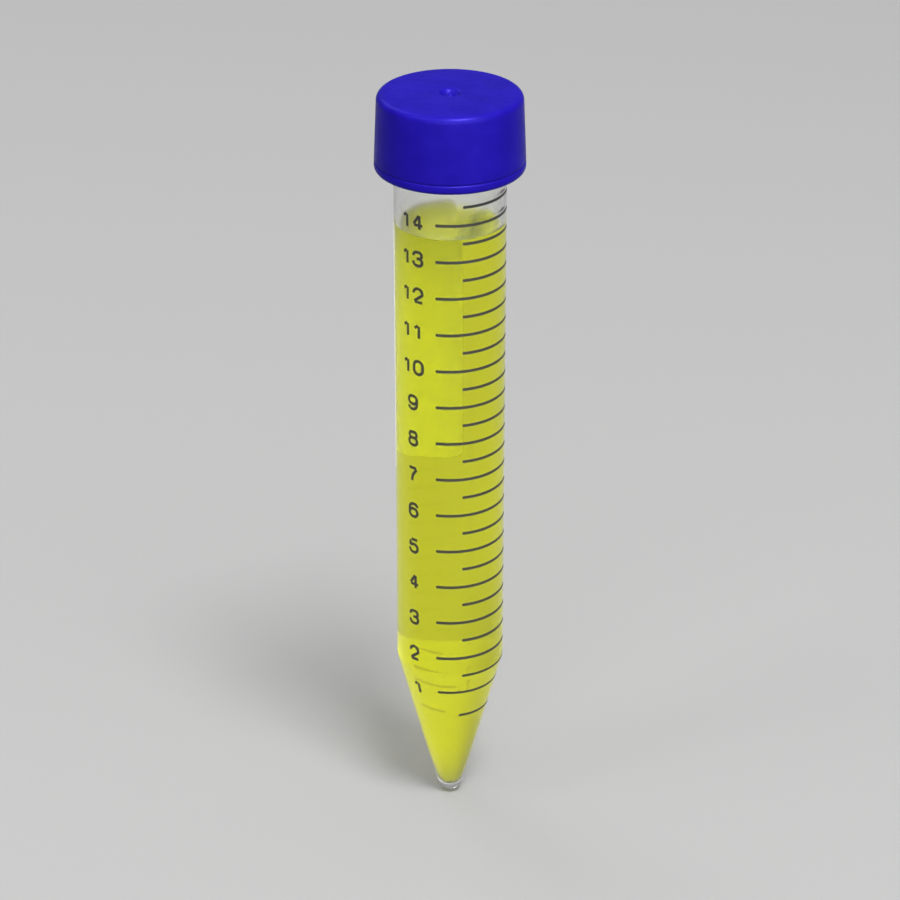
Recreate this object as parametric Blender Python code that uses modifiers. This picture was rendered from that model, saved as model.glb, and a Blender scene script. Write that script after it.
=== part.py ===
"""A 15 mL conical centrifuge tube with a two-piece screw cap, holding a liquid sample.

Metres, +Z up. The origin is the outside of the cone's tip, on the tube's axis.
The cap is closed. Its right-hand thread opens it anticlockwise, seen from above.
"""

import math

import bmesh
import bpy

# Facets round each turned piece. Every piece starts its facets at +X, so walls stay parallel.
SEGMENTS = 48
ARC_STEPS = 4

# Tube: a drafted cylinder that ends in a cone with a rounded tip
TUBE_RIM_Z = 0.1156
NECK_Z = 0.1060
WALL_R_LOW = 0.00825
WALL_R_NECK = 0.00840
WALL_TIP_R = 0.0020
BORE_R_LOW = 0.00710
BORE_R_RIM = 0.00749
BORE_TIP_R = 0.0013
FLOOR_THICKNESS = 0.0015
CONE_HALF_ANGLE = math.radians(15)
RIM_ROUND = 0.0003

# Sample, a little clear of the bore
FILL_VOLUME = 13.5e-6
SAMPLE_GAP = 0.00015

# Cap shell
CAP_BOTTOM_Z = 0.1062
CAP_TOP_Z = 0.1180
CAP_CEILING_Z = 0.1167
CAP_R_TOP = 0.01080
CAP_R_BOTTOM = 0.01125
CAP_BORE_R = 0.00975
CAP_TOP_ROUND = 0.0010
CAP_BOTTOM_ROUND = 0.0009
CAP_LEAD_IN = 0.0003
GATE_DIMPLE_R = 0.0015
GATE_DIMPLE_DEPTH = 0.00035
GATE_NUB_R = 0.0005
GATE_NUB_HEIGHT = 0.00025
BEAD_R = 0.00920
BEAD_Z = (0.11495, 0.11545)

# Plug seal: a disc on the tube's rim and a ring that plugs its bore
SEAL_TOP_Z = 0.1166
SEAL_FLANGE_Z = 0.1157
SEAL_FLANGE_R = 0.00945
SEAL_EDGE = 0.0002
PLUG_BOTTOM_Z = 0.1127
PLUG_BULGE_Z = (0.1138, 0.1144)
PLUG_BULGE_R = 0.00735
PLUG_R = 0.00720
PLUG_BORE_R = 0.00650
PLUG_CEILING_Z = 0.11575

# Thread: both ridges follow one right-hand helix, the cap's close below the tube's
THREAD_LEAD = 0.0030
THREAD_ROOT = 0.0004
THREAD_FADE = math.radians(45)
THREAD_END_HEIGHT = 0.1
TUBE_THREAD_Z = 0.1086
TUBE_THREAD_TURNS = 1.75
TUBE_THREAD_R = 0.00935
CAP_THREAD_DROP = 0.00105
CAP_THREAD_START = math.radians(30)
CAP_THREAD_TURNS = 1.5
CAP_THREAD_R = 0.00875
THREAD_BASE_WIDTH = 0.0015
THREAD_CREST_WIDTH = 0.0006


def clear_scene():
    for obj in list(bpy.data.objects):
        bpy.data.objects.remove(obj, do_unlink=True)


def new_collection(name):
    collection = bpy.data.collections.new(name)
    bpy.context.scene.collection.children.link(collection)
    return collection


def new_material(name, color, roughness, transmission=0.0, ior=1.5):
    material = bpy.data.materials.new(name)
    material.use_nodes = True
    shader = material.node_tree.nodes["Principled BSDF"]
    shader.inputs["Base Color"].default_value = (*color, 1.0)
    shader.inputs["Roughness"].default_value = roughness
    shader.inputs["Metallic"].default_value = 0.0
    shader.inputs["Transmission Weight"].default_value = transmission
    shader.inputs["IOR"].default_value = ior
    return material


def arc(center, radius, start_deg, end_deg, steps=ARC_STEPS):
    """Points (r, z) on an arc, from start to end, with 0 degrees outwards and 90 up."""
    points = []
    for i in range(steps + 1):
        angle = math.radians(start_deg + (end_deg - start_deg) * i / steps)
        points.append(
            (center[0] + radius * math.cos(angle), center[1] + radius * math.sin(angle))
        )
    return points


def cone_end(top_radius, tip_radius, tip_z):
    """Points down a cone, from its widest edge to its rounded tip on the axis."""
    center_z = tip_z + tip_radius
    tangent_r = tip_radius * math.cos(CONE_HALF_ANGLE)
    tangent_z = center_z - tip_radius * math.sin(CONE_HALF_ANGLE)
    top_z = tangent_z + (top_radius - tangent_r) / math.tan(CONE_HALF_ANGLE)
    tip = arc((0.0, center_z), tip_radius, -math.degrees(CONE_HALF_ANGLE), -90.0)
    return [(top_radius, top_z), *tip[:-1], (0.0, tip_z)]


def bore_cone():
    return cone_end(BORE_R_LOW, BORE_TIP_R, FLOOR_THICKNESS)


def bore_draft():
    """How much the bore's radius grows for each metre of height, above the cone."""
    return (BORE_R_RIM - BORE_R_LOW) / (TUBE_RIM_Z - bore_cone()[0][1])


def fill_level(volume):
    """Height of the liquid's surface for a volume that fills more than the cone."""
    (top_r, top_z), (tangent_r, tangent_z) = bore_cone()[:2]
    tip_depth = tangent_z - FLOOR_THICKNESS
    tip = math.pi * tip_depth**2 * (3 * BORE_TIP_R - tip_depth) / 3
    cone = (
        math.pi * (top_z - tangent_z)
        * (top_r**2 + top_r * tangent_r + tangent_r**2) / 3
    )
    above = volume - tip - cone
    surface_r = (top_r**3 + 3 * bore_draft() * above / math.pi) ** (1 / 3)
    return top_z + (surface_r - top_r) / bore_draft()


def turned_piece(name, profile, collection, material):
    """A solid of revolution. The profile runs down its outer side, from axis to axis."""
    mesh = bpy.data.meshes.new(name)
    edges = [(i, i + 1) for i in range(len(profile) - 1)]
    mesh.from_pydata([(r, 0.0, z) for r, z in profile], edges, [])
    obj = bpy.data.objects.new(name, mesh)
    collection.objects.link(obj)
    mesh.materials.append(material)
    screw = obj.modifiers.new("turn", "SCREW")
    screw.axis = "Z"
    screw.angle = 2 * math.pi
    screw.steps = SEGMENTS
    screw.render_steps = SEGMENTS
    screw.use_merge_vertices = True
    screw.merge_threshold = 1e-6
    screw.use_smooth_shade = True
    return obj


def thread_ridge(name, wall_r, crest_r, start_z, start_angle, turns, collection):
    """A helical ridge from wall_r to crest_r that fades in and out, rooted in the wall."""
    steps = round(turns * SEGMENTS)
    height = crest_r - wall_r
    root_r = wall_r - math.copysign(THREAD_ROOT, height)
    bm = bmesh.new()
    sections = []
    for i in range(steps + 1):
        angle = start_angle + 2 * math.pi * i / SEGMENTS
        z = start_z + THREAD_LEAD * angle / (2 * math.pi)
        from_end = min(i, steps - i) * 2 * math.pi / SEGMENTS
        rise = max(THREAD_END_HEIGHT, min(1.0, from_end / THREAD_FADE))
        tip_r = wall_r + height * rise
        corners = (
            (root_r, -THREAD_BASE_WIDTH / 2),
            (wall_r, -THREAD_BASE_WIDTH / 2),
            (tip_r, -THREAD_CREST_WIDTH / 2),
            (tip_r, THREAD_CREST_WIDTH / 2),
            (wall_r, THREAD_BASE_WIDTH / 2),
            (root_r, THREAD_BASE_WIDTH / 2),
        )
        sections.append(
            [
                bm.verts.new((r * math.cos(angle), r * math.sin(angle), z + up))
                for r, up in corners
            ]
        )
    for here, there in zip(sections, sections[1:]):
        for j in range(len(here)):
            k = (j + 1) % len(here)
            bm.faces.new((here[j], here[k], there[k], there[j]))
    bm.faces.new(sections[0])
    bm.faces.new(sections[-1])
    bmesh.ops.recalc_face_normals(bm, faces=bm.faces)
    mesh = bpy.data.meshes.new(name)
    bm.to_mesh(mesh)
    bm.free()
    ridge = bpy.data.objects.new(name, mesh)
    ridge.hide_render = True
    ridge.display_type = "WIRE"
    collection.objects.link(ridge)
    return ridge


def join_ridge(obj, ridge):
    union = obj.modifiers.new("thread", "BOOLEAN")
    union.operation = "UNION"
    union.solver = "EXACT"
    union.object = ridge


def make_tube_body(parts, helpers):
    """The clear moulded tube: inner wall up, over the rim, outer wall down to the tip."""
    bore_up = list(reversed(bore_cone()))
    rim = arc((BORE_R_RIM + RIM_ROUND, TUBE_RIM_Z - RIM_ROUND), RIM_ROUND, 180, 90, 2)
    rim += arc((WALL_R_NECK - RIM_ROUND, TUBE_RIM_Z - RIM_ROUND), RIM_ROUND, 90, 0, 2)
    wall_down = [(WALL_R_NECK, NECK_Z), *cone_end(WALL_R_LOW, WALL_TIP_R, 0.0)]
    clear = new_material("clear_plastic", (0.90, 0.92, 0.92), 0.12, 0.95, 1.49)
    tube = turned_piece("tube_body", bore_up + rim + wall_down, parts, clear)
    ridge = thread_ridge(
        "tube_thread", WALL_R_NECK, TUBE_THREAD_R, TUBE_THREAD_Z, 0.0,
        TUBE_THREAD_TURNS, helpers,
    )
    join_ridge(tube, ridge)
    return tube


def make_sample(parts):
    """The liquid: flat top, then down the bore and its cone, a small gap inside them."""
    level = fill_level(FILL_VOLUME)
    cone = cone_end(
        BORE_R_LOW - SAMPLE_GAP, BORE_TIP_R - SAMPLE_GAP, FLOOR_THICKNESS + SAMPLE_GAP
    )
    surface_r = cone[0][0] + bore_draft() * (level - cone[0][1])
    surface = [(0.0, level), (surface_r, level)]
    yellow = new_material("yellow_liquid", (0.75, 0.78, 0.02), 0.05, 0.9, 1.33)
    return turned_piece("sample_liquid", surface + cone, parts, yellow)


def make_screw_cap(parts, helpers):
    """The blue shell: gate mark, top, drafted side, skirt, then the bore up to the ceiling."""
    dimple_floor = CAP_TOP_Z - GATE_DIMPLE_DEPTH
    gate = [
        (0.0, dimple_floor + GATE_NUB_HEIGHT),
        (GATE_NUB_R, dimple_floor + GATE_NUB_HEIGHT),
        (GATE_NUB_R, dimple_floor),
        (GATE_DIMPLE_R - GATE_DIMPLE_DEPTH, dimple_floor),
        (GATE_DIMPLE_R, CAP_TOP_Z),
    ]
    top_edge = arc(
        (CAP_R_TOP - CAP_TOP_ROUND, CAP_TOP_Z - CAP_TOP_ROUND), CAP_TOP_ROUND, 90, 0
    )
    bottom_edge = arc(
        (CAP_R_BOTTOM - CAP_BOTTOM_ROUND, CAP_BOTTOM_Z + CAP_BOTTOM_ROUND),
        CAP_BOTTOM_ROUND, 0, -90,
    )
    bore = [
        (CAP_BORE_R + CAP_LEAD_IN, CAP_BOTTOM_Z),
        (CAP_BORE_R, CAP_BOTTOM_Z + CAP_LEAD_IN),
        (CAP_BORE_R, BEAD_Z[0] - (CAP_BORE_R - BEAD_R)),
        (BEAD_R, BEAD_Z[0]),
        (BEAD_R, BEAD_Z[1]),
        (CAP_BORE_R, BEAD_Z[1]),
        (CAP_BORE_R, CAP_CEILING_Z),
        (0.0, CAP_CEILING_Z),
    ]
    blue = new_material("blue_polyethylene", (0.018, 0.010, 0.42), 0.38)
    cap = turned_piece("screw_cap", gate + top_edge + bottom_edge + bore, parts, blue)
    ridge = thread_ridge(
        "cap_thread", CAP_BORE_R, CAP_THREAD_R, TUBE_THREAD_Z - CAP_THREAD_DROP,
        CAP_THREAD_START, CAP_THREAD_TURNS, helpers,
    )
    join_ridge(cap, ridge)
    return cap


def make_plug_seal(parts):
    """The liner: disc, snap edge, then the plug ring with its sealing bulge, and its hollow."""
    profile = [
        (0.0, SEAL_TOP_Z),
        (SEAL_FLANGE_R - SEAL_EDGE, SEAL_TOP_Z),
        (SEAL_FLANGE_R, SEAL_TOP_Z - SEAL_EDGE),
        (SEAL_FLANGE_R, SEAL_FLANGE_Z + SEAL_EDGE),
        (SEAL_FLANGE_R - SEAL_EDGE, SEAL_FLANGE_Z),
        (PLUG_R, SEAL_FLANGE_Z),
        (PLUG_BULGE_R, PLUG_BULGE_Z[1]),
        (PLUG_BULGE_R, PLUG_BULGE_Z[0]),
        (PLUG_R - SEAL_EDGE, PLUG_BOTTOM_Z),
        (PLUG_BORE_R, PLUG_BOTTOM_Z),
        (PLUG_BORE_R, PLUG_CEILING_Z),
        (0.0, PLUG_CEILING_Z),
    ]
    natural = new_material("natural_polyethylene", (0.82, 0.83, 0.80), 0.45)
    return turned_piece("plug_seal", profile, parts, natural)


def main():
    clear_scene()
    parts = new_collection("conical_centrifuge_tube")
    helpers = new_collection("joined_ridges")
    make_tube_body(parts, helpers)
    make_sample(parts)
    seal = make_plug_seal(parts)
    cap = make_screw_cap(parts, helpers)
    # The seal rises with the cap and the shell turns round it, both on the tube's axis.
    cap.parent = seal


main()
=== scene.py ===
import math

import bmesh
import bpy
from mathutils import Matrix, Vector
from mathutils.geometry import delaunay_2d_cdt, intersect_point_quad_2d


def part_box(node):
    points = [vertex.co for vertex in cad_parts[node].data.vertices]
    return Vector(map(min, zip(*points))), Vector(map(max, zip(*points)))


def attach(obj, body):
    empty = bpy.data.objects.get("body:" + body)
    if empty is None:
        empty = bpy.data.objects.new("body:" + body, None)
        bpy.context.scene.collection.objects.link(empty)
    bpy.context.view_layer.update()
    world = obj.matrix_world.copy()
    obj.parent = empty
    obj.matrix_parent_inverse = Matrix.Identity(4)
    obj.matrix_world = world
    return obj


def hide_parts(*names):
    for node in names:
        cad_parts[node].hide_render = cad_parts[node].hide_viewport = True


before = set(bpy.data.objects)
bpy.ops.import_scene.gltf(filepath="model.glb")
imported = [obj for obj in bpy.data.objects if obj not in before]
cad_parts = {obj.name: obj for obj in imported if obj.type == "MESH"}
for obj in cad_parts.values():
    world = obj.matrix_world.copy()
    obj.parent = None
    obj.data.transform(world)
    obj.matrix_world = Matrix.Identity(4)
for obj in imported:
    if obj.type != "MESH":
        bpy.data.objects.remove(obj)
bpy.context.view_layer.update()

# ---------------------------------------------------------------- dimensions
# Metres, in the part's own frame: +Z up the tube's axis, the origin at the cone's tip.
# Angles of the print run from -Y, which faces the camera, towards +X. Those of the
# threads run from +X towards +Y.

TUBE_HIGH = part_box("tube_body")[1]
CAP_LOW, CAP_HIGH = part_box("screw_cap")
SEAL_LOW, SEAL_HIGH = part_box("plug_seal")
SAMPLE_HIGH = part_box("sample_liquid")[1]

SEGMENTS = 256
SHARP_ANGLE = math.radians(38)
TOLERANCE = 1e-7
MILLILITRE = 1e-6

# Fillets on small moulded edges
FINE_ROUND = 0.0001
SMALL_ROUND = 0.0002
SOFT_ROUND = 0.0003

# Tube body
RIM_Z = TUBE_HIGH.z
NECK_Z = 0.1060
WALL_R_LOW = 0.00825
WALL_R_NECK = 0.00840
WALL_TIP_R = 0.0020
BORE_R_LOW = 0.00710
BORE_R_RIM = 0.00749
BORE_TIP_R = 0.0013
FLOOR_THICKNESS = 0.0015
CONE_HALF_ANGLE = math.radians(15)
TIP_STEPS = 14
SHOULDER_ROUND = 0.004
RIM_ROUND = 0.0003
RIM_DEPTH = 0.001

# Sample
FILL_Z = SAMPLE_HIGH.z
WETTING_DEPTH = 0.000005
SKIN_THICKNESS = 0.00001
MENISCUS_HEIGHT = 0.0006
MENISCUS_LENGTH = 0.0011
MENISCUS_DIP = 0.3
MENISCUS_STEPS = 32

# Optics
PLASTIC_IOR = 1.49
LIQUID_IOR = 1.333
CLEAR_ROUGHNESS = 0.03
HAZY_ROUGHNESS = 0.2
NOISE_LOW = 0.3
NOISE_HIGH = 0.7
LIGHT_BOUNCES = 32

# Thread
THREAD_LEAD = 0.0030
THREAD_BASE_WIDTH = 0.0015
THREAD_CREST_WIDTH = 0.0006
THREAD_FADE = math.radians(60)
THREAD_ROW = 0.0001
TUBE_THREAD_Z = 0.1086
TUBE_THREAD_TURNS = 1.75
TUBE_THREAD_HEIGHT = TUBE_HIGH.x - WALL_R_NECK
CAP_THREAD_Z = TUBE_THREAD_Z - 0.00105
CAP_THREAD_START = math.radians(30)
CAP_THREAD_TURNS = 1.5
CAP_THREAD_HEIGHT = 0.0010

# Cap shell
CAP_R_TOP = 0.01080
CAP_R_BOTTOM = CAP_HIGH.x
CAP_BORE_R = 0.00975
CAP_CEILING_Z = 0.1167
CAP_TOP_ROUND = 0.0011
CAP_BOTTOM_ROUND = 0.0007
CAP_RIM_HEIGHT = 0.0013
CAP_GROOVE_DEPTH = 0.00015
CAP_GROOVE_HEIGHT = 3 * CAP_GROOVE_DEPTH
CAP_LEAD_IN = 0.0003
GATE_DIMPLE_R = 0.0017
GATE_DIMPLE_DEPTH = 0.0006
GATE_LIP_ROUND = 0.0006
GATE_NUB_R = 0.0009
GATE_NUB_TIP_R = GATE_NUB_R / 6
BEAD_R = 0.00920
BEAD_Z = (0.11495, 0.11545)

# Plug seal
SEAL_FLANGE_Z = 0.1157
PLUG_BULGE_Z = 0.1141
PLUG_BULGE_R = 0.00735
PLUG_BULGE_ROUND = 0.0008
PLUG_R = 0.00720
PLUG_TAPER = 0.0002
PLUG_BORE_R = 0.00650
PLUG_CEILING_Z = 0.11575

# Print on the tube
INK_THICKNESS = 0.00003
INK_BITE = 0.00001
LAST_MARK_ML = 15.0
MARK_STEP_ML = 0.5
LAST_NUMERAL_ML = 14
MARK_WIDTH = 0.00045
MARK_CORNER_SHARE = 0.8
BAND_STEP = math.radians(2)
BAND_CORNER_STEPS = 6
MARK_END = math.radians(85)
WHOLE_MARK_START = math.radians(-15)
HALF_MARK_START = math.radians(13)
NUMERAL_ANGLE = math.radians(-42)
NUMERAL_HEIGHT = 0.0026
NUMERAL_WIDTH = 0.0020
NUMERAL_PITCH = 0.00215
STROKE_WIDTH = 0.00045
STROKE_STEP = 0.0002
STROKE_SNAP = STROKE_STEP / 20
STROKE_FILLET_STEPS = 8
MITRE_LIMIT = 0.5
PANEL_ANGLES = (math.radians(174), math.radians(280))
PANEL_ML = (6.7, 13.6)
PANEL_CORNER = 0.0012

# Studio
FLOOR_RADIUS = 8.0
FLOOR_DROP = 0.0001
CAMERA_LENS = 144.0
CAMERA_SENSOR = 36.0
CAMERA_CLIP = 0.01
CAMERA_ELEVATION = math.radians(26)
CAMERA_DISTANCE = 0.55
CAMERA_RAISE = 0.001


def rounded_box(left, low, right, high, radius):
    """A closed stroke: down the left side, along, up and back over the top."""
    middle = (low + high) / 2
    return [
        (left, middle), (left, low, radius), (right, low, radius),
        (right, high, radius), (left, high, radius), (left, middle),
    ]


# Each digit's strokes, as corners (x, y) or (x, y, fillet) in shares of the digit's width
# and height. A fillet is a share of its width. Two fillets on one side fit its length, or
# the stroke would double back between them; a side is about 1.39 times longer upwards.
DIGIT_STROKES = {
    "0": [rounded_box(0, 0, 1, 1, 0.5)],
    "1": [[(0.1, 0.74), (0.6, 1.0), (0.6, 0.0)]],
    "2": [[(0, 0.63), (0, 1, 0.5), (1, 1, 0.5), (1, 0.56, 0.2), (0, 0), (1, 0)]],
    "3": [
        [(0, 0.7), (0, 1, 0.4), (0.96, 1, 0.32), (0.96, 0.53, 0.32), (0.4, 0.53)],
        [(0.4, 0.53), (1, 0.53, 0.36), (1, 0, 0.37), (0, 0, 0.42), (0, 0.31)],
    ],
    "4": [[(0.72, 0), (0.72, 1)], [(0.66, 1), (0, 0.3), (1.04, 0.3)]],
    "5": [
        [(0.94, 1), (0.12, 1), (0.04, 0.5)],
        [(0.04, 0.52), (0.35, 0.63, 0.3), (1, 0.63, 0.43), (1, 0, 0.43), (0, 0, 0.42), (0, 0.31)],
    ],
    "6": [
        rounded_box(0, 0, 1, 0.61, 0.42),
        [(0.97, 0.76), (0.97, 1, 0.33), (0, 1, 0.5), (0, 0.3)],
    ],
    "7": [[(0, 1), (1, 1), (0.45, 0.45, 0.8), (0.33, 0)]],
    "8": [rounded_box(0, 0, 1, 0.55, 0.38), rounded_box(0.05, 0.55, 0.95, 1, 0.31)],
    "9": [
        rounded_box(0, 0.39, 1, 1, 0.42),
        [(0.03, 0.24), (0.03, 0, 0.33), (1, 0, 0.5), (1, 0.7)],
    ],
}


# ---------------------------------------------------------------- shapes

def arc(center, radius, start_deg, end_deg, steps):
    """Points (r, z) on an arc, from start to end, with 0 degrees outwards and 90 up."""
    points = []
    for i in range(steps + 1):
        angle = math.radians(start_deg + (end_deg - start_deg) * i / steps)
        points.append(
            (center[0] + radius * math.cos(angle), center[1] + radius * math.sin(angle))
        )
    return points


def filleted(corners, steps=6):
    """A profile of (r, z) or (r, z, fillet radius) corners, with each fillet as an arc."""
    points = []
    for i, corner in enumerate(corners):
        here = Vector(corner[:2])
        if len(corner) == 2:
            points.append(tuple(here))
            continue
        back = (Vector(corners[i - 1][:2]) - here).normalized()
        ahead = (Vector(corners[i + 1][:2]) - here).normalized()
        half = back.angle(ahead) / 2
        center = here + (back + ahead).normalized() * corner[2] / math.sin(half)
        start = here + back * corner[2] / math.tan(half) - center
        end = here + ahead * corner[2] / math.tan(half) - center
        for k in range(steps + 1):
            points.append(tuple(center + start.slerp(end, k / steps) * corner[2]))
    return points


def cone_end(top_radius, tip_radius, tip_z, shoulder=0.0):
    """Points down a cone, from its widest edge to its rounded tip on the axis."""
    center_z = tip_z + tip_radius
    tangent_r = tip_radius * math.cos(CONE_HALF_ANGLE)
    tangent_z = center_z - tip_radius * math.sin(CONE_HALF_ANGLE)
    top_z = tangent_z + (top_radius - tangent_r) / math.tan(CONE_HALF_ANGLE)
    tip = arc((0.0, center_z), tip_radius, -math.degrees(CONE_HALF_ANGLE), -90.0, TIP_STEPS)
    edge = (top_radius, top_z, shoulder) if shoulder else (top_radius, top_z)
    return [edge, *tip[:-1], (0.0, tip_z)]


BORE_CONE = cone_end(BORE_R_LOW, BORE_TIP_R, FLOOR_THICKNESS)
BORE_DRAFT = (BORE_R_RIM - BORE_R_LOW) / (RIM_Z - BORE_CONE[0][1])
WALL_CONE = cone_end(WALL_R_LOW, WALL_TIP_R, 0.0)


def bore_radius(z):
    """The bore's radius above the cone."""
    return BORE_R_LOW + BORE_DRAFT * (z - BORE_CONE[0][1])


def wall_radius(z):
    """The tube's outside radius, from the cone's tangent up to the neck."""
    cone_top = WALL_CONE[0][1]
    if z < cone_top:
        return WALL_R_LOW - (cone_top - z) * math.tan(CONE_HALF_ANGLE)
    share = min(1.0, (z - cone_top) / (NECK_Z - cone_top))
    return WALL_R_LOW + (WALL_R_NECK - WALL_R_LOW) * share


def level_of(millilitres):
    """The height of the liquid's surface for a volume, worked out from the bore."""
    (top_r, top_z), (tangent_r, tangent_z) = BORE_CONE[:2]
    depth = tangent_z - FLOOR_THICKNESS
    tip = math.pi * depth**2 * (3 * BORE_TIP_R - depth) / 3
    cone = math.pi * (top_z - tangent_z) * (top_r**2 + top_r * tangent_r + tangent_r**2) / 3
    volume = millilitres * MILLILITRE
    if volume < tip + cone:
        slope = math.tan(CONE_HALF_ANGLE)
        surface_r = (tangent_r**3 + 3 * slope * (volume - tip) / math.pi) ** (1 / 3)
        return tangent_z + (surface_r - tangent_r) / slope
    above = volume - tip - cone
    surface_r = (top_r**3 + 3 * BORE_DRAFT * above / math.pi) ** (1 / 3)
    return top_z + (surface_r - top_r) / BORE_DRAFT


def thread_height(angle, z, start_z, start_angle, turns, height):
    """How far a helical ridge stands out of its wall at this angle and height."""
    found = 0.0
    for turn in range(math.ceil(turns) + 1):
        unwound = (angle - start_angle) % (2 * math.pi) + 2 * math.pi * turn
        to_end = min(unwound, 2 * math.pi * turns - unwound)
        if to_end <= 0.0:
            continue
        middle = start_z + THREAD_LEAD * (start_angle + unwound) / (2 * math.pi)
        slant = THREAD_BASE_WIDTH / 2 - abs(z - middle)
        flank = slant / ((THREAD_BASE_WIDTH - THREAD_CREST_WIDTH) / 2)
        fade = min(1.0, to_end / THREAD_FADE)
        found = max(found, height * max(0.0, min(1.0, flank)) * fade)
    return found


def tube_thread(r, z, angle):
    """Raises the thread on the neck and leaves the rest of the tube as it is."""
    if r < WALL_R_NECK - TOLERANCE:
        return r
    return r + thread_height(
        angle, z, TUBE_THREAD_Z, 0.0, TUBE_THREAD_TURNS, TUBE_THREAD_HEIGHT
    )


def cap_thread(r, z, angle):
    """Raises the thread inside the cap's bore and leaves the rest of the cap as it is."""
    if abs(r - CAP_BORE_R) > TOLERANCE:
        return r
    return r - thread_height(
        angle, z, CAP_THREAD_Z, CAP_THREAD_START, CAP_THREAD_TURNS, CAP_THREAD_HEIGHT
    )


def new_object(name, bm):
    """Turns a finished mesh into an object, smooth but for its sharp edges."""
    bmesh.ops.recalc_face_normals(bm, faces=bm.faces)
    mesh = bpy.data.meshes.new(name)
    bm.to_mesh(mesh)
    bm.free()
    obj = bpy.data.objects.new(name, mesh)
    bpy.context.scene.collection.objects.link(obj)
    mesh.shade_smooth()
    mesh.set_sharp_from_angle(angle=SHARP_ANGLE)
    return obj


def turned(name, profile, relief=None):
    """A solid of revolution round Z. relief(r, z, angle) may move a point in or out."""
    bm = bmesh.new()
    rings = []
    for r, z in profile:
        if r < TOLERANCE:
            rings.append([bm.verts.new((0.0, 0.0, z))])
            continue
        ring = []
        for i in range(SEGMENTS):
            angle = 2 * math.pi * i / SEGMENTS
            at = relief(r, z, angle) if relief else r
            ring.append(bm.verts.new((at * math.cos(angle), at * math.sin(angle), z)))
        rings.append(ring)
    for above, below in zip(rings, rings[1:]):
        for i in range(SEGMENTS):
            j = (i + 1) % SEGMENTS
            corners = [above[i % len(above)], above[j % len(above)]]
            corners += [below[j % len(below)], below[i % len(below)]]
            bm.faces.new(list(dict.fromkeys(corners)))
    return new_object(name, bm)


def paint_bands(piece, first, last, index):
    """Gives the bands between two points of a turned profile another of its materials."""
    for face in piece.data.polygons:
        if first <= face.index // SEGMENTS < last:
            face.material_index = index


def stretch(r, z_from, z_to, step):
    """Evenly spaced points along a straight wall, for a relief to shape."""
    count = max(1, round(abs(z_to - z_from) / step))
    return [(r, z_from + (z_to - z_from) * i / count) for i in range(count + 1)]


def on_wall(angle, z, lift):
    """A point over the tube's outside wall, at an angle from -Y towards +X."""
    r = wall_radius(z) + lift
    return (r * math.sin(angle), -r * math.cos(angle), z)


def add_printed_band(bm, z_low, z_high, start, end, corner):
    """A closed layer of ink round part of the tube, with its four corners rounded."""
    middle_r = wall_radius((z_low + z_high) / 2)
    rounds = [math.radians(90 * i / BAND_CORNER_STEPS) for i in range(BAND_CORNER_STEPS + 1)]
    insets = [corner * (1 - math.cos(angle)) for angle in rounds]
    straight = end - start - 2 * corner / middle_r
    count = max(1, round(straight / BAND_STEP))
    columns = [(start + inset / middle_r, inset) for inset in insets]
    columns += [
        (start + corner / middle_r + straight * i / count, corner) for i in range(1, count)
    ]
    columns += [(end - inset / middle_r, inset) for inset in reversed(insets)]
    sections = []
    for angle, inset in columns:
        cut = corner - math.sqrt(max(0.0, corner**2 - (corner - inset) ** 2))
        low, high = z_low + cut, z_high - cut
        out = INK_THICKNESS - INK_BITE
        corners = ((low, out), (high, out), (high, -INK_BITE), (low, -INK_BITE))
        sections.append([bm.verts.new(on_wall(angle, z, lift)) for z, lift in corners])
    for here, there in zip(sections, sections[1:]):
        for j in range(4):
            k = (j + 1) % 4
            bm.faces.new((here[j], here[k], there[k], there[j]))
    bm.faces.new(sections[0])
    bm.faces.new(sections[-1])


def stroke_path(corners):
    """A stroke's middle line in metres from the digit's centre, in short even steps."""
    wide = NUMERAL_WIDTH - STROKE_WIDTH
    tall = NUMERAL_HEIGHT - STROKE_WIDTH
    scaled = [
        ((x - 0.5) * wide, (y - 0.5) * tall, *(share * wide for share in fillet))
        for x, y, *fillet in corners
    ]
    points = [Vector(point) for point in filleted(scaled, STROKE_FILLET_STEPS)]
    path = [points[0]]
    for point in points[1:]:
        here = path[-1]
        length = (point - here).length
        if length > STROKE_SNAP:
            count = math.ceil(length / STROKE_STEP)
            path += [here.lerp(point, i / count) for i in range(1, count + 1)]
    return path


def stroke_band(path):
    """The two sides of a stroke, mitred at its corners and cut square at its ends."""
    closed = (path[0] - path[-1]).length < STROKE_SNAP
    sides = []
    for i, here in enumerate(path):
        back = path[i - 1] if i else path[-2]
        ahead = path[i + 1] if i + 1 < len(path) else path[1]
        arriving = (here - back).normalized()
        leaving = (ahead - here).normalized()
        if not closed and i == 0:
            arriving = leaving
        if not closed and i + 1 == len(path):
            leaving = arriving
        along = (arriving + leaving).normalized()
        reach = STROKE_WIDTH / 2 / max(MITRE_LIMIT, along.dot(leaving))
        side = Vector((-along.y, along.x)) * reach
        sides.append((here + side, here - side))
    if closed:
        sides[-1] = sides[0]
    return sides


def digit_faces(digit):
    """A digit as flat points and triangles, with its overlapping strokes merged."""
    points = []
    quads = []
    for corners in DIGIT_STROKES[digit]:
        sides = stroke_band(stroke_path(corners))
        for (left, right), (next_left, next_right) in zip(sides, sides[1:]):
            first = len(points)
            points += [right, next_right, next_left, left]
            quads.append([first, first + 1, first + 2, first + 3])
    merged = delaunay_2d_cdt(points, [], quads, 0, TOLERANCE)
    merged_points, triangles = merged[0], merged[2]
    inked = []
    for face in triangles:
        middle = sum((merged_points[i] for i in face), Vector((0.0, 0.0))) / 3
        if any(intersect_point_quad_2d(middle, *(points[i] for i in quad)) for quad in quads):
            inked.append(face)
    return merged_points, inked


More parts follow.
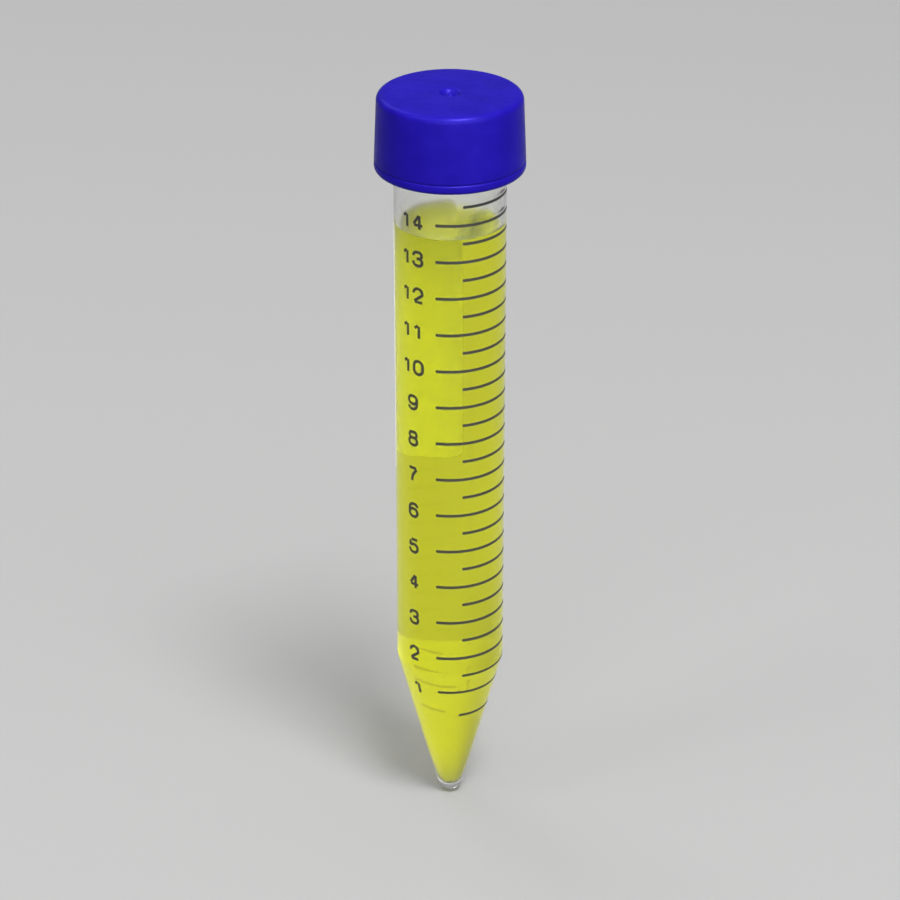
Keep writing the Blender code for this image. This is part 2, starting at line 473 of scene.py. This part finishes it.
def add_digit(bm, digit, shift, middle_z):
    """Adds one digit to a mesh as a closed layer of ink on the tube's wall."""
    points, faces = digit_faces(digit)
    layers = []
    for lift in (INK_THICKNESS - INK_BITE, -INK_BITE):
        layer = []
        for point in points:
            angle = NUMERAL_ANGLE + (point.x + shift) / wall_radius(middle_z)
            layer.append(bm.verts.new(on_wall(angle, middle_z + point.y, lift)))
        layers.append(layer)
    top, bottom = layers
    edges = set()
    for face in faces:
        bm.faces.new([top[i] for i in face])
        bm.faces.new([bottom[i] for i in reversed(face)])
        edges.update(zip(face, face[1:] + face[:1]))
    for i, j in edges:
        if (j, i) not in edges:
            bm.faces.new((top[j], top[i], bottom[i], bottom[j]))


# ---------------------------------------------------------------- materials

def new_material(name):
    """A node material, with its tree and its shader."""
    material = bpy.data.materials.new(name)
    material.use_nodes = True
    tree = material.node_tree
    return material, tree, tree.nodes["Principled BSDF"]


def noise(tree, scale, detail=3.0):
    """Noise in the object's own metres, so scale is waves a metre."""
    coords = tree.nodes.new("ShaderNodeTexCoord")
    texture = tree.nodes.new("ShaderNodeTexNoise")
    texture.inputs["Scale"].default_value = scale
    texture.inputs["Detail"].default_value = detail
    tree.links.new(coords.outputs["Object"], texture.inputs["Vector"])
    return texture.outputs["Fac"]


def ranged(tree, value, low, high):
    """A noise value, over the range where noise mostly lies, spread from low to high."""
    node = tree.nodes.new("ShaderNodeMapRange")
    node.inputs["From Min"].default_value = NOISE_LOW
    node.inputs["From Max"].default_value = NOISE_HIGH
    node.inputs["To Min"].default_value = low
    node.inputs["To Max"].default_value = high
    tree.links.new(value, node.inputs["Value"])
    return node.outputs["Result"]


def tinted(tree, value, first, second):
    """A colour between two, by a noise value."""
    mix = tree.nodes.new("ShaderNodeMix")
    mix.data_type = "RGBA"
    mix.inputs["A"].default_value = (*first, 1.0)
    mix.inputs["B"].default_value = (*second, 1.0)
    tree.links.new(ranged(tree, value, 0.0, 1.0), mix.inputs["Factor"])
    return mix.outputs["Result"]


def bumped(tree, shader, layers):
    """Chains bumps of (noise socket, height in metres) into the shader's normal."""
    normal = None
    for height_map, depth in layers:
        bump = tree.nodes.new("ShaderNodeBump")
        bump.inputs["Strength"].default_value = 1.0
        bump.inputs["Distance"].default_value = depth
        tree.links.new(height_map, bump.inputs["Height"])
        if normal:
            tree.links.new(normal, bump.inputs["Normal"])
        normal = bump.outputs["Normal"]
    tree.links.new(normal, shader.inputs["Normal"])


def clear_plastic(name, ior, roughness):
    """Injection-moulded clear polypropylene, with a slightly wavy wall."""
    material, tree, shader = new_material(name)
    shader.inputs["Base Color"].default_value = (0.985, 0.99, 0.99, 1.0)
    shader.inputs["Transmission Weight"].default_value = 1.0
    shader.inputs["IOR"].default_value = ior
    shader.inputs["Roughness"].default_value = roughness
    bumped(tree, shader, [(noise(tree, scale=260.0, detail=2.0), 0.00001)])
    return material


def clear_liquid(name, ior):
    """A smooth liquid's surface. An IOR of 1 leaves the bending to what the liquid touches."""
    material, _, shader = new_material(name)
    shader.inputs["Base Color"].default_value = (1.0, 1.0, 1.0, 1.0)
    shader.inputs["Transmission Weight"].default_value = 1.0
    shader.inputs["IOR"].default_value = ior
    shader.inputs["Roughness"].default_value = 0.0
    return material


def yellow_liquid():
    """Dyed liquid: its colour is absorbed over depth, so thin parts are paler."""
    material = clear_liquid("dyed_liquid", 1.0)
    tree = material.node_tree
    absorption = tree.nodes.new("ShaderNodeVolumeAbsorption")
    absorption.inputs["Color"].default_value = (0.992, 0.994, 0.0, 1.0)
    absorption.inputs["Density"].default_value = 800.0
    output = tree.nodes["Material Output"]
    tree.links.new(absorption.outputs["Volume"], output.inputs["Volume"])
    return material


def blue_polyethylene():
    """Pigmented moulded cap: satin, with fine mould grain and a faint flow pattern.

    A small share of blue gloss stands for light that returns from just under the skin.
    """
    material, tree, shader = new_material("blue_polyethylene")
    flow = noise(tree, scale=300.0)
    color = tinted(tree, flow, (0.005, 0.002, 0.155), (0.007, 0.003, 0.185))
    tree.links.new(color, shader.inputs["Base Color"])
    sheen = ranged(tree, noise(tree, scale=900.0), 0.30, 0.42)
    tree.links.new(sheen, shader.inputs["Roughness"])
    shader.inputs["Specular IOR Level"].default_value = 0.03
    mould_grain = noise(tree, scale=3500.0, detail=2.0)
    bumped(tree, shader, [(flow, 0.00001), (mould_grain, 0.000001)])
    gloss = tree.nodes.new("ShaderNodeBsdfAnisotropic")
    gloss.inputs["Color"].default_value = (0.13, 0.09, 1.0, 1.0)
    gloss.inputs["Roughness"].default_value = 0.32
    mix = tree.nodes.new("ShaderNodeMixShader")
    mix.inputs["Fac"].default_value = 0.025
    tree.links.new(shader.outputs["BSDF"], mix.inputs[1])
    tree.links.new(gloss.outputs["BSDF"], mix.inputs[2])
    tree.links.new(mix.outputs["Shader"], tree.nodes["Material Output"].inputs["Surface"])
    return material


def natural_polyethylene():
    """Unpigmented polyethylene: milky and waxy."""
    material, tree, shader = new_material("natural_polyethylene")
    grain = noise(tree, scale=1200.0)
    tree.links.new(
        tinted(tree, grain, (0.78, 0.79, 0.76), (0.86, 0.86, 0.83)),
        shader.inputs["Base Color"],
    )
    shader.inputs["Roughness"].default_value = 0.42
    shader.inputs["Subsurface Weight"].default_value = 0.4
    shader.inputs["Subsurface Radius"].default_value = (1.0, 0.95, 0.85)
    shader.inputs["Subsurface Scale"].default_value = 0.0015
    bumped(tree, shader, [(grain, 0.00001)])
    return material


def black_ink():
    """Screen-printed ink: dense black with a slightly uneven film."""
    material, tree, shader = new_material("black_ink")
    film = noise(tree, scale=5000.0)
    tree.links.new(
        tinted(tree, film, (0.006, 0.006, 0.006), (0.02, 0.02, 0.02)),
        shader.inputs["Base Color"],
    )
    shader.inputs["Roughness"].default_value = 0.45
    bumped(tree, shader, [(film, 0.000004)])
    return material


def white_ink():
    """Matt white writing panel: reflects and lets soft light through."""
    material, tree, shader = new_material("white_ink")
    film = noise(tree, scale=3500.0)
    color = tinted(tree, film, (0.9, 0.9, 0.89), (0.94, 0.94, 0.93))
    tree.links.new(color, shader.inputs["Base Color"])
    shader.inputs["Roughness"].default_value = 0.7
    bumped(tree, shader, [(film, 0.000008)])
    through = tree.nodes.new("ShaderNodeBsdfTranslucent")
    tree.links.new(color, through.inputs["Color"])
    mix = tree.nodes.new("ShaderNodeMixShader")
    mix.inputs["Fac"].default_value = 0.05
    tree.links.new(shader.outputs["BSDF"], mix.inputs[1])
    tree.links.new(through.outputs["BSDF"], mix.inputs[2])
    tree.links.new(mix.outputs["Shader"], tree.nodes["Material Output"].inputs["Surface"])
    return material


def floor_material():
    """A matt grey that takes the tube's shadow."""
    material, _, shader = new_material("pale_floor")
    shader.inputs["Base Color"].default_value = (0.22, 0.22, 0.22, 1.0)
    shader.inputs["Roughness"].default_value = 0.65
    return material


# ---------------------------------------------------------------- pieces

def dress(piece, material, body):
    """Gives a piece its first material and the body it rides."""
    piece.data.materials.append(material)
    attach(piece, body)


def make_tube():
    """The clear tube: up the bore, over the rim, down the thread, barrel and cone."""
    rim = filleted(
        [
            (BORE_R_RIM, RIM_Z - RIM_DEPTH),
            (BORE_R_RIM, RIM_Z, RIM_ROUND),
            (WALL_R_NECK, RIM_Z, RIM_ROUND),
            (WALL_R_NECK, RIM_Z - RIM_DEPTH),
        ]
    )
    wetted = filleted(
        [
            *reversed(cone_end(BORE_R_LOW, BORE_TIP_R, FLOOR_THICKNESS, SHOULDER_ROUND)),
            (bore_radius(contact_height()), contact_height()),
        ]
    )
    thread = stretch(WALL_R_NECK, rim[-1][1], NECK_Z, THREAD_ROW)
    cone = cone_end(WALL_R_LOW, WALL_TIP_R, 0.0, SHOULDER_ROUND)
    barrel = filleted([(WALL_R_NECK, NECK_Z), *cone])
    tube = turned("clear_tube", wetted + rim[:-1] + thread[:-1] + barrel, tube_thread)
    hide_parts("tube_body")
    clear = clear_plastic("clear_wall", PLASTIC_IOR, CLEAR_ROUGHNESS)
    dress(tube, clear, "tube")
    wet = clear_plastic("wetted_wall", PLASTIC_IOR / LIQUID_IOR, CLEAR_ROUGHNESS)
    tube.data.materials.append(wet)
    tube.data.materials.append(clear_plastic("hazy_dry_wall", PLASTIC_IOR, HAZY_ROUGHNESS))
    paint_bands(tube, 0, len(wetted) - 1, 1)
    paint_bands(tube, len(wetted) - 1, len(wetted), 2)


def meniscus_height(r):
    """How high the liquid's surface stands at this distance from the axis."""
    climb = math.exp((r - bore_radius(FILL_Z)) / MENISCUS_LENGTH)
    return FILL_Z + MENISCUS_HEIGHT * (climb - MENISCUS_DIP)


def contact_height():
    """Where the liquid's surface meets the wall."""
    return meniscus_height(bore_radius(FILL_Z))


def meniscus(drop):
    """The surface's profile, from the axis to just inside the wall, this far down."""
    edge_r = bore_radius(FILL_Z) + WETTING_DEPTH
    steps = range(MENISCUS_STEPS + 1)
    radii = [edge_r * math.sin(math.pi / 2 * i / MENISCUS_STEPS) for i in steps]
    return [(r, meniscus_height(r) - drop) for r in radii]


def make_sample():
    """The liquid's body, wetting the bore, and its skin, where it meets the air."""
    top = meniscus(SKIN_THICKNESS / 2)
    cone = cone_end(
        BORE_R_LOW + WETTING_DEPTH, BORE_TIP_R + WETTING_DEPTH,
        FLOOR_THICKNESS - WETTING_DEPTH, SHOULDER_ROUND,
    )
    body = turned("yellow_sample", top[:-1] + filleted([top[-1], *cone]))
    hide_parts("sample_liquid")
    dress(body, yellow_liquid(), "tube")
    top = meniscus(0.0)
    skin = turned("sample_skin", top + list(reversed(meniscus(SKIN_THICKNESS))))
    dress(skin, clear_liquid("liquid_surface", LIQUID_IOR), "tube")
    skin.data.materials.append(clear_liquid("liquid_inside", 1.0))
    paint_bands(skin, len(top) - 1, 2 * len(top), 1)


def make_cap():
    """The blue shell: gate mark, shoulder, groove over the rim, inside thread and liner bead."""
    top, bottom = CAP_HIGH.z, CAP_LOW.z
    dimple = top - GATE_DIMPLE_DEPTH
    rim = bottom + CAP_RIM_HEIGHT
    rim_r = CAP_R_BOTTOM - (CAP_R_BOTTOM - CAP_R_TOP) * CAP_RIM_HEIGHT / (top - bottom)
    outside = filleted(
        [
            (0.0, top),
            (GATE_NUB_TIP_R, top, SMALL_ROUND),
            (GATE_NUB_R, dimple, SMALL_ROUND),
            (GATE_DIMPLE_R - GATE_DIMPLE_DEPTH, dimple, SMALL_ROUND),
            (GATE_DIMPLE_R, top, GATE_LIP_ROUND),
            (CAP_R_TOP, top, CAP_TOP_ROUND),
            (rim_r, rim + CAP_GROOVE_HEIGHT, SOFT_ROUND),
            (rim_r - CAP_GROOVE_DEPTH, rim + CAP_GROOVE_DEPTH, FINE_ROUND),
            (rim_r, rim, SOFT_ROUND),
            (CAP_R_BOTTOM, bottom, CAP_BOTTOM_ROUND),
            (CAP_BORE_R + CAP_LEAD_IN, bottom, FINE_ROUND),
            (CAP_BORE_R, bottom + CAP_LEAD_IN),
        ],
        steps=8,
    )
    bead_foot = BEAD_Z[0] - (CAP_BORE_R - BEAD_R)
    thread = stretch(CAP_BORE_R, bottom + CAP_LEAD_IN, bead_foot, THREAD_ROW)
    inside = filleted(
        [
            (CAP_BORE_R, bead_foot),
            (BEAD_R, BEAD_Z[0], FINE_ROUND),
            (BEAD_R, BEAD_Z[1], FINE_ROUND),
            (CAP_BORE_R, BEAD_Z[1]),
            (CAP_BORE_R, CAP_CEILING_Z, SMALL_ROUND),
            (0.0, CAP_CEILING_Z),
        ]
    )
    cap = turned("blue_cap", outside[:-1] + thread[:-1] + inside, cap_thread)
    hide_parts("screw_cap")
    dress(cap, blue_polyethylene(), "cap")


def make_seal():
    """The liner: a disc over the rim and a hollow ring with a sealing bulge."""
    top, bottom, flange_r = SEAL_HIGH.z, SEAL_LOW.z, SEAL_HIGH.x
    profile = filleted(
        [
            (0.0, top),
            (flange_r, top, SOFT_ROUND),
            (flange_r, SEAL_FLANGE_Z, SOFT_ROUND),
            (PLUG_R, SEAL_FLANGE_Z, SMALL_ROUND),
            (PLUG_BULGE_R, PLUG_BULGE_Z, PLUG_BULGE_ROUND),
            (PLUG_R - PLUG_TAPER, bottom, SMALL_ROUND),
            (PLUG_BORE_R, bottom, SMALL_ROUND),
            (PLUG_BORE_R, PLUG_CEILING_Z, SOFT_ROUND),
            (0.0, PLUG_CEILING_Z),
        ]
    )
    seal = turned("natural_plug_seal", profile)
    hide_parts("plug_seal")
    dress(seal, natural_polyethylene(), "seal")


def make_marks(ink):
    """The graduation lines: long at each millilitre, short at each half."""
    bm = bmesh.new()
    half = MARK_WIDTH / 2
    for step in range(1, round(LAST_MARK_ML / MARK_STEP_ML) + 1):
        millilitres = step * MARK_STEP_ML
        z = level_of(millilitres)
        start = WHOLE_MARK_START if millilitres.is_integer() else HALF_MARK_START
        add_printed_band(bm, z - half, z + half, start, MARK_END, MARK_CORNER_SHARE * half)
    dress(new_object("graduation_marks", bm), ink, "tube")


def make_numerals(ink):
    """A number beside each whole mark, centred on it."""
    bm = bmesh.new()
    for number in range(1, LAST_NUMERAL_ML + 1):
        digits = str(number)
        for i, digit in enumerate(digits):
            shift = (i - (len(digits) - 1) / 2) * NUMERAL_PITCH
            add_digit(bm, digit, shift, level_of(number))
    # Each sharp corner of a stroke leaves a point that no inked triangle uses.
    unused = [vert for vert in bm.verts if not vert.link_faces]
    bmesh.ops.delete(bm, geom=unused, context="VERTS")
    dress(new_object("graduation_numerals", bm), ink, "tube")


def make_panel():
    """The white writing panel on the back."""
    bm = bmesh.new()
    low, high = (level_of(ml) for ml in PANEL_ML)
    add_printed_band(bm, low, high, *PANEL_ANGLES, PANEL_CORNER)
    dress(new_object("writing_panel", bm), white_ink(), "tube")


# ---------------------------------------------------------------- studio

def make_floor():
    """A wide disc just under the tube's tip."""
    bm = bmesh.new()
    bmesh.ops.create_circle(bm, cap_ends=True, radius=FLOOR_RADIUS, segments=96)
    floor = new_object("floor", bm)
    floor.location.z = -FLOOR_DROP
    floor.data.materials.append(floor_material())


def add_softbox(name, place, size, power):
    """A square area light aimed at the middle of the tube."""
    data = bpy.data.lights.new(name, "AREA")
    data.shape = "SQUARE"
    data.size = size
    data.energy = power
    lamp = bpy.data.objects.new(name, data)
    bpy.context.scene.collection.objects.link(lamp)
    lamp.location = place
    aim = Vector((0.0, 0.0, CAP_HIGH.z / 2)) - lamp.location
    lamp.rotation_euler = aim.to_track_quat("-Z", "Y").to_euler()


def sky_share(tree, direction, cosines, strengths):
    """A world's strength that grows as the view turns towards a direction."""
    coords = tree.nodes.new("ShaderNodeTexCoord")
    facing = tree.nodes.new("ShaderNodeVectorMath")
    facing.operation = "DOT_PRODUCT"
    facing.inputs[1].default_value = Vector(direction).normalized()
    tree.links.new(coords.outputs["Generated"], facing.inputs[0])
    share = tree.nodes.new("ShaderNodeMapRange")
    share.interpolation_type = "SMOOTHSTEP"
    share.inputs["From Min"].default_value, share.inputs["From Max"].default_value = cosines
    share.inputs["To Min"].default_value, share.inputs["To Max"].default_value = strengths
    tree.links.new(facing.outputs["Value"], share.inputs["Value"])
    return share.outputs["Result"]


def make_world():
    """A soft room: brighter overhead, and brightest low in front, as from a window."""
    world = bpy.data.worlds.new("studio")
    world.use_nodes = True
    tree = world.node_tree
    total = tree.nodes.new("ShaderNodeMath")
    total.operation = "ADD"
    ceiling = sky_share(
        tree, direction=(0.0, 0.0, 1.0), cosines=(0.4, 1.0), strengths=(0.3, 1.2)
    )
    window = sky_share(
        tree, direction=(0.25, -0.93, 0.3), cosines=(0.5, 1.0), strengths=(0.0, 3.8)
    )
    tree.links.new(ceiling, total.inputs[0])
    tree.links.new(window, total.inputs[1])
    tree.links.new(total.outputs["Value"], tree.nodes["Background"].inputs["Strength"])
    tree.nodes["Background"].inputs["Color"].default_value = (1.0, 1.0, 1.0, 1.0)
    bpy.context.scene.world = world


def make_lights():
    """One strong softbox overhead and two weak ones, from the left and from behind."""
    add_softbox("overhead", place=(0.2, -0.4, 1.05), size=0.3, power=15.0)
    add_softbox("kicker", place=(-0.5, -0.25, 0.9), size=0.25, power=1.5)
    add_softbox("back", place=(-0.55, 0.75, 0.9), size=0.6, power=3.0)


def make_camera():
    """A long lens from in front and above that takes in the whole tube."""
    data = bpy.data.cameras.new("camera")
    data.lens = CAMERA_LENS
    data.sensor_width = CAMERA_SENSOR
    data.clip_start = CAMERA_CLIP
    camera = bpy.data.objects.new("camera", data)
    bpy.context.scene.collection.objects.link(camera)
    back = Vector((0.0, -math.cos(CAMERA_ELEVATION), math.sin(CAMERA_ELEVATION)))
    target = Vector((0.0, 0.0, CAP_HIGH.z / 2 + CAMERA_RAISE))
    camera.location = target + back * CAMERA_DISTANCE
    camera.rotation_euler = (-back).to_track_quat("-Z", "Y").to_euler()
    bpy.context.scene.camera = camera


make_tube()
make_sample()
make_cap()
make_seal()
black = black_ink()
make_marks(black)
make_numerals(black)
make_panel()
make_floor()
make_world()
make_lights()
make_camera()

scene = bpy.context.scene
scene.view_settings.view_transform = "Standard"
scene.cycles.max_bounces = LIGHT_BOUNCES
scene.cycles.transmission_bounces = LIGHT_BOUNCES
scene.cycles.transparent_max_bounces = LIGHT_BOUNCES
